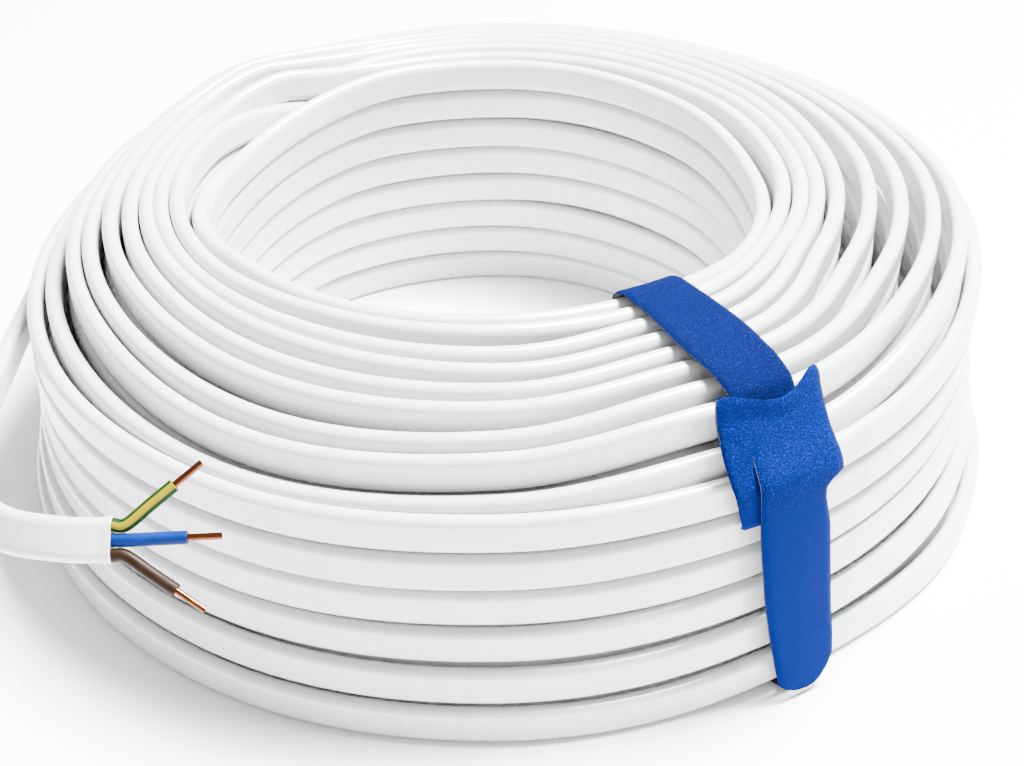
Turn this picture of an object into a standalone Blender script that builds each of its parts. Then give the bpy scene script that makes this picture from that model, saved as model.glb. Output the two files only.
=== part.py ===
"""A coil of flat three-core installation cable, lying flat and tied with one hook-and-loop strap.

Metres, +Z up. The origin is on the floor, at the middle of the coil's outer wall.
The viewer stands on the -Y side. Azimuths are degrees from +X, counterclockwise from above.
"""

import math

import bmesh
import bpy
from mathutils import Matrix, Vector

# Flat cable: three cores side by side in one jacket
CABLE_WIDTH = 0.0120
CABLE_THICKNESS = 0.0053
CABLE_EDGE_RADIUS = 0.0022
CORE_DIAMETER = 0.0035
CONDUCTOR_DIAMETER = 0.0018
CORE_SPACING = 0.0039

# Coil: rows of turns in each layer, from the bore outwards
ROWS_IN_LAYER = (8, 8, 8, 8, 8, 8, 7, 7, 6, 6)
LAYERS = len(ROWS_IN_LAYER)
ROW_PITCH = 0.0122
BORE_RADIUS = 0.0900
WALL_RADIUS = 0.1540
FLARED_ROWS = 3
ROW_GROOVE = 0.0011
RING_GROOVE = 0.0024
SLIT_DEPTH_PER_GAP = 2.5
NARROWEST_SLIT = 0.0003
EDGE_FLAT = 0.0026
COIL_SEGMENTS = 48

# The bundle is pulled out of round. At each of these azimuths: how far its bore and its wall lie beyond
# their radii, how far their feet spread on the floor, how far each layer's upper edge rises over its rows
# (all in millimetres), and how the slack is shared between the layers, both from the bore outwards.
MM = 0.001
UNDER_STRAP = {
    "bore": -9.5, "wall": -5.0, "bore_foot": 4.0, "wall_foot": 5.4,
    "rises": (1.4, 2.4, 2.4, 1.9, 1.9, 1.4, 13.1, 10.6, 11.8, 1.3),
    "gaps": (12, 12, 12, 12, 12, 12, 12, 12, 6),
}
SECTIONS = {
    -90.0: {
        "bore": -6.5, "wall": -4.4, "bore_foot": 4.0, "wall_foot": 6.9,
        "rises": (1.9, 3.9, 2.4, 0.9, -1.6, -3.1, 2.1, -0.9, 1.8, 0.3),
        "gaps": (25, 30, 12, 12, 10, 3, 3, 3, 2),
    },
    -72.0: UNDER_STRAP,
    -48.0: UNDER_STRAP,
    -25.0: {
        "bore": -10.0, "wall": -2.0, "bore_foot": 5.0, "wall_foot": 8.5,
        "rises": (-2.1, 1.9, 2.9, 3.4, 3.4, 2.4, 13.6, 11.1, 17.8, 5.8),
        "gaps": (5, 3, 2, 4, 22, 20, 22, 20, 3),
    },
    10.0: {
        "bore": -8.5, "wall": 2.5, "bore_foot": 6.0, "wall_foot": 9.0,
        "rises": (-3.6, 1.9, 2.9, 3.4, 3.9, 3.4, 14.6, 12.6, 20.8, 11.8),
        "gaps": (3, 1, 1, 2, 26, 21, 25, 24, 3),
    },
    50.0: {
        "bore": 1.0, "wall": 0.0, "bore_foot": 9.0, "wall_foot": 7.0,
        "rises": (-1.1, 1.4, 2.4, 2.9, 3.4, 2.9, 14.1, 12.6, 21.8, 15.8),
        "gaps": (8, 3, 3, 6, 18, 18, 20, 18, 6),
    },
    90.0: {
        "bore": 9.5, "wall": 0.0, "bore_foot": 11.0, "wall_foot": 3.0,
        "rises": (0.4, 1.4, 2.4, 2.9, 2.9, 2.4, 13.6, 12.6, 21.8, 17.8),
        "gaps": (1, 1, 1, 1, 1, 1, 1, 1, 1),
    },
    135.0: {
        "bore": 11.0, "wall": 1.0, "bore_foot": 9.0, "wall_foot": 7.0,
        "rises": (0.4, 1.4, 1.9, 2.4, 1.9, 0.4, 9.6, 7.6, 15.8, 9.8),
        "gaps": (1, 1, 1, 1, 1, 1, 1, 1, 1),
    },
    175.0: {
        "bore": 6.8, "wall": 1.5, "bore_foot": 6.0, "wall_foot": 8.5,
        "rises": (1.4, 1.9, 1.4, 0.4, -0.6, -2.1, 6.6, 3.6, 6.8, 1.8),
        "gaps": (22, 3, 3, 8, 12, 14, 22, 10, 6),
    },
    205.0: {
        "bore": 2.5, "wall": 2.0, "bore_foot": 5.0, "wall_foot": 6.5,
        "rises": (0.9, 1.9, 1.4, 0.4, -1.1, -2.6, 4.6, 1.6, 4.8, 0.8),
        "gaps": (20, 2, 2, 10, 12, 12, 26, 10, 6),
    },
    240.0: {
        "bore": -2.4, "wall": 0.0, "bore_foot": 4.0, "wall_foot": 6.0,
        "rises": (1.4, 3.4, 2.4, 0.9, -1.1, -3.1, 2.6, -0.4, 2.3, 0.3),
        "gaps": (22, 18, 8, 10, 12, 8, 12, 6, 4),
    },
}

# Hook-and-loop strap
STRAP_AZIMUTH = -60.0
STRAP_WIDTH = 0.0190
STRAP_THICKNESS = 0.0016
STRAP_HEAD_WIDTH = 0.0330
STRAP_HEAD_TOP = 0.0970
STRAP_HEAD_BOTTOM = 0.0620
STRAP_TAIL_WIDTH = 0.0170
STRAP_TAIL_TOP = 0.0700
STRAP_TAIL_BOTTOM = 0.0080
STRAP_TAIL_OFF_AXIS = 0.0030
STRAP_COLUMNS = 4
CHANNEL_OVERSHOOT = 0.0120
LAP_BITE = 0.15
SHARPEST_MITRE = 2.0

# Stripped outer end of the cable
CORE_LENGTH = 0.0190
CONDUCTOR_LENGTH = 0.0085
END_FACE_TILT = math.radians(38.5)
CORE_FAN = {"green_yellow": 40.0, "blue": 3.0, "brown": -33.0}
CORE_ROOT = 0.0035

# Gap kept between pieces that touch
CLEARANCE = 0.0003

# The tail's middle line, from the outer wall at the back left to the jacket's cut end
TAIL_ROUTE = (
    (-0.1533, 0.0420, 0.0549),
    (-0.1588, 0.0080, 0.0549),
    (-0.1590, -0.0250, 0.0560),
    (-0.1572, -0.0560, 0.0590),
    (-0.1545, -0.0860, 0.0640),
    (-0.1505, -0.1140, 0.0700),
    (-0.1425, -0.1400, 0.0755),
    (-0.1280, -0.1590, 0.0797),
    (-0.1110, -0.1662, 0.0817),
    (-0.0979, -0.1670, 0.0820),
)
TAIL_STEP = 0.0060
TAIL_TWIST_START = 0.35
ROUTE_PARTS = 20
EDGE_STEPS = 2

COLOURS = {
    "white_jacket": ((0.86, 0.87, 0.88), 0.34, 0.0),
    "green_yellow": ((0.62, 0.68, 0.05), 0.35, 0.0),
    "blue": ((0.0, 0.13, 0.55), 0.35, 0.0),
    "brown": ((0.10, 0.05, 0.03), 0.38, 0.0),
    "copper": ((0.78, 0.35, 0.17), 0.28, 1.0),
    "strap_blue": ((0.01, 0.09, 0.42), 0.85, 0.0),
}


def clear_scene():
    for obj in list(bpy.data.objects):
        bpy.data.objects.remove(obj, do_unlink=True)


def material(name):
    colour, roughness, metallic = COLOURS[name]
    made = bpy.data.materials.get(name)
    if made:
        return made
    made = bpy.data.materials.new(name)
    made.use_nodes = True
    shader = made.node_tree.nodes["Principled BSDF"]
    shader.inputs["Base Color"].default_value = (*colour, 1.0)
    shader.inputs["Roughness"].default_value = roughness
    shader.inputs["Metallic"].default_value = metallic
    return made


def add_object(name, data, finish):
    obj = bpy.data.objects.new(name, data)
    obj.data.materials.append(material(finish))
    bpy.context.scene.collection.objects.link(obj)
    return obj


def mesh_from(bm, name, smooth_angle=35.0):
    bmesh.ops.recalc_face_normals(bm, faces=bm.faces)
    mesh = bpy.data.meshes.new(name)
    bm.to_mesh(mesh)
    bm.free()
    mesh.shade_smooth()
    mesh.set_sharp_from_angle(angle=math.radians(smooth_angle))
    return mesh


def spun(point, azimuth):
    return Matrix.Rotation(azimuth, 3, "Z") @ point


def carried(first, second, share):
    """A value, or each of several, on its way from the first to the second."""
    if isinstance(first, tuple):
        return tuple(carried(a, b, share) for a, b in zip(first, second))
    return first + (second - first) * share


def section_at(azimuth):
    """The coil's section at an azimuth in degrees, carried over smoothly from station to station."""
    stations = sorted(SECTIONS)
    azimuth = (azimuth - stations[0]) % 360.0 + stations[0]
    stations.append(stations[0] + 360.0)
    following = next(index for index, place in enumerate(stations) if place > azimuth)
    before, after = stations[following - 1], stations[following]
    share = (azimuth - before) / (after - before)
    share = share * share * (3.0 - 2.0 * share)
    first = SECTIONS[before]
    second = SECTIONS[stations[following % (len(stations) - 1)]]
    return {key: carried(first[key], second[key], share) for key in first}


def edge_ring_height():
    return max(ROWS_IN_LAYER) * ROW_PITCH


def middle_radius():
    return (BORE_RADIUS + WALL_RADIUS) / 2


def ring_top(section, layer):
    """Height of one layer's upper edge."""
    return ROWS_IN_LAYER[layer] * ROW_PITCH + section["rises"][layer] * MM


def wall_radius(section, height):
    """Outer wall: the lowest rows spread outwards on the floor."""
    flare = max(0.0, 1.0 - height / (FLARED_ROWS * ROW_PITCH))
    return WALL_RADIUS + (section["wall"] + section["wall_foot"] * flare) * MM


def bore_radius(section, height):
    """Inner wall: the bore opens a little towards the floor."""
    flare = max(0.0, 1.0 - height / edge_ring_height())
    return BORE_RADIUS + (section["bore"] + section["bore_foot"] * flare) * MM


def layer_faces(section, height):
    """Inner and outer radius of each layer at a height, with the slack shared between the layers."""
    inner = bore_radius(section, height)
    span = wall_radius(section, height) - inner
    thickness = min(CABLE_THICKNESS, span / LAYERS - NARROWEST_SLIT)
    slack = (span - LAYERS * thickness) / sum(section["gaps"])
    faces = []
    for layer in range(LAYERS):
        start = inner + layer * thickness + slack * sum(section["gaps"][:layer])
        faces.append((start, start + thickness))
    return faces


def top_rings(section):
    """Upper end, from the outer wall inwards: a flat edge for each layer, and a slit between two.

    A slit is the deeper the wider it is, and the outer face of each layer rises from it.
    """
    faces = layer_faces(section, edge_ring_height())
    tops = [ring_top(section, layer) for layer in range(LAYERS)]
    points = []
    for layer in reversed(range(LAYERS)):
        near, far = faces[layer]
        if layer < LAYERS - 1:
            points.append((far, tops[layer] - ROW_GROOVE))
        points.append(((near + far + EDGE_FLAT) / 2, tops[layer]))
        points.append(((near + far - EDGE_FLAT) / 2, tops[layer]))
        if layer > 0:
            gap = near - faces[layer - 1][1]
            seam = near - gap / 2
            half = max(gap, NARROWEST_SLIT) / 2
            depth = RING_GROOVE + SLIT_DEPTH_PER_GAP * gap
            floor = min(tops[layer], tops[layer - 1]) - depth
            points.append((seam + half, floor))
            points.append((seam - half, floor))
    return points


def bottom_rings(section):
    """Lower end, from the outer wall inwards: every edge rests on the floor."""
    faces = layer_faces(section, 0.0)
    points = []
    for layer in reversed(range(LAYERS)):
        near, far = faces[layer]
        points.append(((near + far + EDGE_FLAT) / 2, 0.0))
        points.append(((near + far - EDGE_FLAT) / 2, 0.0))
        if layer > 0:
            points.append(((near + faces[layer - 1][1]) / 2, RING_GROOVE))
    return points


def wall_rows(section, radius_at, outwards, layer):
    """One wall, upwards: a face for each row of its layer, and a groove between two."""
    rows = ROWS_IN_LAYER[layer]
    pitch = ring_top(section, layer) / rows
    points = []
    for row in range(rows):
        low, high = row * pitch + ROW_GROOVE, (row + 1) * pitch - ROW_GROOVE
        points.append((radius_at(section, low), low))
        points.append((radius_at(section, high), high))
        if row < rows - 1:
            seam = (row + 1) * pitch
            points.append((radius_at(section, seam) - outwards * ROW_GROOVE, seam))
    return points


def coil_profile(azimuth):
    """The coil's whole section at an azimuth in degrees, counterclockwise in (radius, height)."""
    section = section_at(azimuth)
    outer = wall_rows(section, wall_radius, 1.0, LAYERS - 1)
    inner = wall_rows(section, bore_radius, -1.0, 0)
    return outer + top_rings(section) + inner[::-1] + bottom_rings(section)[::-1]


def build_coil():
    bm = bmesh.new()
    rings = []
    for segment in range(COIL_SEGMENTS):
        azimuth = 360.0 * segment / COIL_SEGMENTS
        ring = []
        for radius, height in coil_profile(azimuth):
            ring.append(bm.verts.new(spun(Vector((radius, 0.0, height)), math.radians(azimuth))))
        rings.append(ring)
    for segment, ring in enumerate(rings):
        following = rings[(segment + 1) % COIL_SEGMENTS]
        for index in range(len(ring)):
            after = (index + 1) % len(ring)
            bm.faces.new((ring[index], following[index], following[after], ring[after]))
    coil = add_object("cable_coil", mesh_from(bm, "cable_coil"), "white_jacket")
    channel = strap_channel()
    cut = coil.modifiers.new("strap_channel", "BOOLEAN")
    cut.operation = "DIFFERENCE"
    cut.object = channel
    return coil


def strap_point(radius, across, height):
    """A point of the strap, across being measured round the coil from the strap's middle."""
    azimuth = math.radians(STRAP_AZIMUTH) + across / radius
    return spun(Vector((radius, 0.0, height)), azimuth)


def closed_sheet(bm, loops):
    """Joins loops of the same length side by side into a tube's wall."""
    for first, second in zip(loops, loops[1:]):
        for index in range(len(first)):
            after = (index + 1) % len(first)
            bm.faces.new((first[index], first[after], second[after], second[index]))


def prism(name, outline, width, across=0.0, hole=None):
    """A band of constant width whose edge has this outline in (radius, height)."""
    bm = bmesh.new()
    offsets = [across + width * (step / STRAP_COLUMNS - 0.5) for step in range(STRAP_COLUMNS + 1)]
    shells = []
    for loop in [outline] + ([hole] if hole else []):
        columns = []
        for offset in offsets:
            columns.append([bm.verts.new(strap_point(r, offset, z)) for r, z in loop])
        closed_sheet(bm, columns)
        shells.append(columns)
    for side in (0, -1):
        if hole:
            closed_sheet(bm, [shells[0][side], shells[1][side]])
        else:
            bm.faces.new(shells[0][side])
    return mesh_from(bm, name)


def strap_channel():
    """Cutter for the shallow channel under the coil that the strap lies in."""
    low, high = -STRAP_THICKNESS, STRAP_THICKNESS + CLEARANCE
    near = bore_radius(UNDER_STRAP, 0.0) - CHANNEL_OVERSHOOT
    far = wall_radius(UNDER_STRAP, 0.0) + CHANNEL_OVERSHOOT
    radii = (near, BORE_RADIUS, WALL_RADIUS, far)
    outline = [(radius, low) for radius in radii] + [(radius, high) for radius in radii[::-1]]
    width = STRAP_WIDTH + 2 * CLEARANCE
    cutter = add_object("strap_channel", prism("strap_channel", outline, width), "white_jacket")
    cutter.hide_render = True
    cutter.display_type = "WIRE"
    return cutter


def turn_of(a, b, c):
    return (b[0] - a[0]) * (c[1] - a[1]) - (b[1] - a[1]) * (c[0] - a[0])


def half_hull(points):
    chain = []
    for point in points:
        while len(chain) > 1 and turn_of(chain[-2], chain[-1], point) <= 0.0:
            chain.pop()
        chain.append(point)
    return chain[:-1]


def tight_outline():
    """The line of a strap pulled tight round the coil's section, counterclockwise."""
    facet_dip = BORE_RADIUS * (1.0 - math.cos(math.pi / COIL_SEGMENTS))
    points = []
    for radius, height in coil_profile(STRAP_AZIMUTH):
        points.append((radius - (facet_dip if radius < middle_radius() else 0.0), height))
    points.sort()
    return half_hull(points) + half_hull(points[::-1])


def offset_outline(points, distance, floor):
    """The same closed outline, this far outside itself and no lower than the floor height."""
    moved = []
    for index, point in enumerate(points):
        before = Vector(points[index - 1])
        here = Vector(point)
        after = Vector(points[(index + 1) % len(points)])
        first = (here - before).normalized()
        second = (after - here).normalized()
        normal = Vector((first.y + second.y, -first.x - second.x)).normalized()
        mitre = min(SHARPEST_MITRE, 1.0 / normal.dot(Vector((first.y, -first.x))))
        place = here + normal * distance * mitre
        moved.append((place.x, max(place.y, floor)))
    return moved


def outer_stretch(distance, bottom, top):
    """The tight outline's outer side between two heights, this far outside it, upwards."""
    points = offset_outline(tight_outline(), distance, 0.0)
    side = sorted((z, r) for r, z in points if r > middle_radius())
    stretch = []
    for (low, near), (high, far) in zip(side, side[1:]):
        if high <= max(low, bottom) or low >= top:
            continue
        for height in (max(low, bottom), min(high, top)):
            radius = near + (far - near) * (height - low) / (high - low)
            if (radius, height) not in stretch:
                stretch.append((radius, height))
    return stretch


def strap_lap(name, width, top, bottom, layer, across):
    """A stretch of strap lying on the band's outer run, a number of thicknesses out."""
    inner = outer_stretch(CLEARANCE + STRAP_THICKNESS * (layer - LAP_BITE), bottom, top)
    outer = outer_stretch(CLEARANCE + STRAP_THICKNESS * (layer + 1.0), bottom, top)
    lap = add_object(name, prism(name, inner + outer[::-1], width, across), "strap_blue")
    lap.hide_render = True
    lap.display_type = "WIRE"
    return lap


def build_strap():
    line = tight_outline()
    inner = offset_outline(line, CLEARANCE, STRAP_THICKNESS)
    outer = offset_outline(line, CLEARANCE + STRAP_THICKNESS, 0.0)
    band = prism("hook_and_loop_strap", outer, STRAP_WIDTH, hole=inner)
    strap = add_object("hook_and_loop_strap", band, "strap_blue")
    head = strap_lap("strap_head", STRAP_HEAD_WIDTH, STRAP_HEAD_TOP, STRAP_HEAD_BOTTOM, 1, 0.0)
    tail_size = (STRAP_TAIL_WIDTH, STRAP_TAIL_TOP, STRAP_TAIL_BOTTOM)
    tail = strap_lap("strap_tail", *tail_size, 1, STRAP_TAIL_OFF_AXIS)
    for lap in (head, tail):
        join = strap.modifiers.new(lap.name, "BOOLEAN")
        join.operation = "UNION"
        join.object = lap
    return strap


def smooth_route(points, step):
    """Points about step apart on a smooth curve through these points."""
    knots = [Vector(point) for point in points]
    ends = [2 * knots[0] - knots[1]] + knots + [2 * knots[-1] - knots[-2]]
    dense = []
    for index in range(len(knots) - 1):
        a, b, c, d = ends[index : index + 4]
        for part in range(ROUTE_PARTS):
            t = part / ROUTE_PARTS
            curve = (
                2 * b
                + (c - a) * t
                + (2 * a - 5 * b + 4 * c - d) * t**2
                + (3 * b - a - 3 * c + d) * t**3
            )
            dense.append(curve * 0.5)
    dense.append(knots[-1])
    return evenly_spaced(dense, step)


def evenly_spaced(points, step):
    lengths = [0.0]
    for first, second in zip(points, points[1:]):
        lengths.append(lengths[-1] + (second - first).length)
    count = max(2, round(lengths[-1] / step))
    even = []
    index = 0
    for number in range(count + 1):
        target = lengths[-1] * number / count
        while index < len(points) - 2 and lengths[index + 1] < target:
            index += 1
        share = (target - lengths[index]) / (lengths[index + 1] - lengths[index])
        even.append(points[index].lerp(points[index + 1], min(share, 1.0)))
    return even


def cable_section():
    """Outline of the flat cable, wide along its second axis, with rounded edges."""
    corner = CABLE_EDGE_RADIUS
    points = []
    for quarter, (side_x, side_y) in enumerate(((1, 1), (-1, 1), (-1, -1), (1, -1))):
        centre_x = side_x * (CABLE_THICKNESS / 2 - corner)
        centre_y = side_y * (CABLE_WIDTH / 2 - corner)
        for part in range(EDGE_STEPS + 1):
            angle = math.pi / 2 * (quarter + part / EDGE_STEPS)
            points.append(
                (centre_x + corner * math.cos(angle), centre_y + corner * math.sin(angle))
            )
    return points


def tail_frame(tangent, share):
    """Face normal and edge direction of the tail, whose face turns upwards towards its end."""
    turn = max(0.0, (share - TAIL_TWIST_START) / (1.0 - TAIL_TWIST_START))
    tilt = END_FACE_TILT * turn * turn * (3.0 - 2.0 * turn)
    flat_normal = tangent.cross(Vector((0.0, 0.0, 1.0))).normalized()
    edge = flat_normal.cross(tangent).normalized()
    twist = Matrix.Rotation(-tilt, 3, tangent)
    return twist @ flat_normal, twist @ edge


def build_tail():
    route = smooth_route(TAIL_ROUTE, TAIL_STEP)
    section = cable_section()
    bm = bmesh.new()
    rings = []
    for index, place in enumerate(route):
        before = route[max(index - 1, 0)]
        after = route[min(index + 1, len(route) - 1)]
        tangent = (after - before).normalized()
        normal, edge = tail_frame(tangent, index / (len(route) - 1))
        rings.append([bm.verts.new(place + normal * x + edge * y) for x, y in section])
    for first, second in zip(rings, rings[1:]):
        for index in range(len(section)):
            after = (index + 1) % len(section)
            bm.faces.new((first[index], first[after], second[after], second[index]))
    bm.faces.new(rings[0])
    bm.faces.new(rings[-1])
    add_object("cable_tail", mesh_from(bm, "cable_tail"), "white_jacket")
    end = route[-1]
    heading = (route[-1] - route[-2]).normalized()
    normal, edge = tail_frame(heading, 1.0)
    return end, heading, edge


def tube(name, points, diameter, finish):
    curve = bpy.data.curves.new(name, "CURVE")
    curve.dimensions = "3D"
    curve.bevel_depth = diameter / 2
    curve.bevel_resolution = 2
    curve.use_fill_caps = True
    spline = curve.splines.new("POLY")
    spline.points.add(len(points) - 1)
    for spot, point in zip(spline.points, points):
        spot.co = (*point, 1.0)
    return add_object(name, curve, finish)


def build_cores(end, heading, edge):
    """Three cores that leave the jacket side by side and fan out in the plane of its wide face."""
    for count, (colour, fan) in enumerate(CORE_FAN.items()):
        spread = math.radians(fan)
        aim = heading * math.cos(spread) + edge * math.sin(spread)
        root = end + edge * CORE_SPACING * (1 - count) + heading * CLEARANCE
        bend = root + heading * CORE_ROOT
        tip = bend + aim * (CORE_LENGTH - CORE_ROOT)
        points = smooth_route((root, bend, bend.lerp(tip, 0.5), tip), CORE_DIAMETER / 2)
        tube(f"core_{colour}", points, CORE_DIAMETER, colour)
        cut_direction = (points[-1] - points[-2]).normalized()
        start = points[-1] + cut_direction * CLEARANCE
        finish = start + cut_direction * CONDUCTOR_LENGTH
        tube(f"conductor_{colour}", [start, finish], CONDUCTOR_DIAMETER, "copper")


def main():
    clear_scene()
    build_coil()
    build_strap()
    end, heading, edge = build_tail()
    build_cores(end, heading, edge)


main()
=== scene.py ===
"""Looks of a coil of flat three-core cable, tied with one hook-and-loop strap.

Laid out as a Blender add-on and run as a script. Metres, +Z up. Azimuths are degrees from +X,
counterclockwise from above, and the viewer stands on the -Y side.
"""

import math
import random

import bmesh
import bpy
import numpy as np
from bpy.props import FloatProperty, FloatVectorProperty, PointerProperty
from bpy.types import Operator, Panel, PropertyGroup
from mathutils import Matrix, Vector


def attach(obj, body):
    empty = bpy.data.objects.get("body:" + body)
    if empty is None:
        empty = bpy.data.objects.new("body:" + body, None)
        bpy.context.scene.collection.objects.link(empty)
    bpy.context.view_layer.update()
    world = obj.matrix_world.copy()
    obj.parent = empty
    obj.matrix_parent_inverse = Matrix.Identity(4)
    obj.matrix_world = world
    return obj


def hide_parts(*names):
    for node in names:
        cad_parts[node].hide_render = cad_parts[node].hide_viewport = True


bl_info = {
    "name": "Coil of Flat Cable",
    "version": (1, 0, 0),
    "blender": (4, 5, 0),
    "location": "3D View > Sidebar > Cable Coil",
    "description": "Dresses a coil of flat three-core cable, its strap and its stripped end",
    "category": "Object",
}

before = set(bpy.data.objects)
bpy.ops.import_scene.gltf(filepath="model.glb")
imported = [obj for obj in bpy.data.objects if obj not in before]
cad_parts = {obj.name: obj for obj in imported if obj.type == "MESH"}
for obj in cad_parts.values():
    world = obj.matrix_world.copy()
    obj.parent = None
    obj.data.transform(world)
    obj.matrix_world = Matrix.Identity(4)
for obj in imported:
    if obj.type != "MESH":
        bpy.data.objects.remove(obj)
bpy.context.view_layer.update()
MM = 0.001

# Camera at the photograph's viewing angle
PHOTO_WIDTH = 1024
FOCAL_PIXELS = 1714
SENSOR_WIDTH = 36.0
CAMERA_PLACE = Vector((0.002, -0.504, 0.3485))
CAMERA_PITCH = math.radians(33.1)

# Overhead softbox, a little behind the coil and to its right, so that the slits at the left are dark
SOFTBOX_PLACE = Vector((0.46, 0.20, 1.32))
SOFTBOX_SIZE = 0.55
SOFTBOX_AIM = Vector((0.0, 0.0, 0.05))

# The floor reaches this far each way, and lies a hair below the coil
FLOOR_REACH = 4.0
FLOOR_DROP = 0.0002

# The winding: rows of turns in each layer, from the bore outwards
ROWS_IN_LAYER = (8, 8, 8, 8, 8, 8, 7, 7, 6, 6)
LAYERS = len(ROWS_IN_LAYER)
TURN_STEPS = 144
STEP_ANGLE = 360.0 / TURN_STEPS
SEAM_AZIMUTH = 190.0
# Height at which the bore's spread towards the floor begins
COIL_HEIGHT = 98 * MM
# Flats in each rounded corner of the jacket's section
CORNER_PARTS = 5

# Where each turn crosses over to the next place, at the back left, in degrees. Turns at the floor cross
# earlier by the lag in a layer that is wound upwards, and later in the others, so that the place beside
# a layer's lower end is free when the cable moves out into it.
CROSSING_MIDDLE = 136.0
CROSSING_HALF_WIDTH = 26.0
CROSSING_LAG = 16.0
LAYER_CHANGE_HALF_WIDTH = 10.0
# How much the cable is pushed up at a layer's upper end, against the rise of the turn beneath it
HUMP_SHARE = 0.92

# The inner end, tucked in one row lower, and the outermost turn's way to the free end
TUCKED_END = 30.0
TUCKED_OUT = 3.0 * MM
TUCKED_DOWN = 12.0 * MM
LAST_AZIMUTH = 84.0
LIFT_OFF_SPAN = 26.0
FREE_AZIMUTH = 150.0
FREE_GAP = 0.4 * MM
BRIDGE_POINTS = 13

# Sections through the coil at some azimuths, in millimetres. bore and wall are the radii at the upper
# rows, bore_foot and feet say how far the lowest rows spread, tops is the height of each layer's upper
# edge and gaps is how the slack is shared between the layers, both from the bore outwards.
UNDER_STRAP = {
    "bore": 80.5, "wall": 149.0, "bore_foot": 4.0, "feet": (4.8, 3.2, 1.5),
    "tops": (99.0, 100.0, 100.0, 99.5, 99.5, 99.0, 97.0, 93.5, 82.5, 76.0),
    "gaps": (14, 14, 14, 14, 14, 12, 8, 4, 3),
}
SECTIONS = {
    -90.0: {
        "bore": 83.5, "wall": 149.6, "bore_foot": 4.0, "feet": (5.9, 4.1, 2.0),
        "tops": (99.5, 101.5, 100.0, 98.5, 97.0, 95.5, 90.0, 86.5, 77.0, 74.0),
        "gaps": (25, 30, 12, 12, 10, 3, 3, 3, 2),
    },
    -66.0: UNDER_STRAP,
    -53.0: UNDER_STRAP,
    -25.0: {
        "bore": 80.0, "wall": 152.0, "bore_foot": 5.0, "feet": (8.7, 4.3, 1.7),
        "tops": (95.5, 99.5, 100.5, 101.0, 101.0, 100.0, 99.0, 96.5, 91.0, 79.0),
        "gaps": (5, 3, 2, 4, 22, 20, 22, 20, 3),
    },
    10.0: {
        "bore": 81.5, "wall": 156.5, "bore_foot": 6.0, "feet": (9.2, 4.3, 1.7),
        "tops": (94.0, 99.5, 100.5, 101.0, 101.5, 101.0, 100.0, 98.0, 94.0, 85.0),
        "gaps": (12, 1, 1, 2, 24, 19, 23, 22, 2),
    },
    50.0: {
        "bore": 91.0, "wall": 154.0, "bore_foot": 9.0, "feet": (6.0, 3.5, 1.4),
        "tops": (96.5, 99.0, 100.0, 100.5, 101.0, 100.5, 99.5, 98.0, 95.0, 89.0),
        "gaps": (22, 3, 3, 5, 15, 15, 17, 16, 4),
    },
    90.0: {
        "bore": 99.5, "wall": 154.0, "bore_foot": 11.0, "feet": (2.5, 1.5, 0.6),
        "tops": (98.0, 99.0, 100.0, 100.5, 100.5, 100.0, 99.0, 98.0, 95.0, 91.0),
        "gaps": (5, 1, 1, 1, 1, 1, 1, 1, 1),
    },
    135.0: {
        "bore": 101.0, "wall": 155.0, "bore_foot": 9.0, "feet": (6.0, 3.6, 1.4),
        "tops": (98.0, 98.5, 98.8, 99.0, 98.8, 98.0, 95.0, 93.0, 89.0, 83.0),
        "gaps": (4, 1, 1, 1, 1, 1, 1, 1, 1),
    },
    175.0: {
        "bore": 96.8, "wall": 155.5, "bore_foot": 6.0, "feet": (7.3, 4.4, 1.7),
        "tops": (99.0, 99.5, 99.0, 98.0, 97.0, 95.5, 92.0, 89.0, 80.0, 75.0),
        "gaps": (28, 2, 2, 4, 10, 20, 4, 22, 14),
    },
    205.0: {
        "bore": 92.5, "wall": 156.0, "bore_foot": 5.0, "feet": (5.6, 3.4, 1.3),
        "tops": (98.5, 99.5, 99.0, 98.0, 96.5, 95.0, 90.0, 87.0, 78.0, 74.0),
        "gaps": (30, 2, 2, 3, 12, 22, 2, 25, 14),
    },
    240.0: {
        "bore": 87.6, "wall": 154.0, "bore_foot": 4.0, "feet": (5.1, 3.1, 1.2),
        "tops": (99.0, 101.0, 100.0, 98.5, 96.0, 94.0, 86.5, 83.5, 74.5, 73.2),
        "gaps": (22, 18, 8, 10, 12, 8, 12, 6, 4),
    },
}
FOOT_ROWS = len(UNDER_STRAP["feet"])
# How the spare height of the innermost and the outermost layers is shared between their rows, from the
# floor up. The innermost ones share it evenly where the turns cross, and the outermost ones everywhere
# but at the loose side.
OPEN_LAYERS = 2
CROSSING_FADE = 40.0
INNER_ROW_GAPS = (0.02, 0.02, 0.54, 0.02, 0.02, 0.36, 0.02)
OUTER_ROW_GAPS = (0.40, 0.36, 0.08, 0.08, 0.08)
LOOSE_SIDE = -15.0

# Small irregularities. Turns wander outwards less where the whole section has little slack.
WANDER_OUT = 0.35 * MM
WANDER_UP = 0.20 * MM
WANDER_WAVES = (1, 2, 3, 5)
WANDER_SEED = 31
TIGHT_SLACK = 4.5 * MM
LEAST_WANDER = 0.1
LEAN = math.radians(2.0)
LEAN_WAVES = (0.37, 0.83, 1.61)
LEAN_SEED = 900
LEAN_EASE = 30.0
# The strap beneath the coil lifts its lowest rows, each less than the one below
STRAP_LIFT = 1.6 * MM
STRAP_LIFT_SPREAD = 9.0
LIFTED_ROWS = 5

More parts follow.
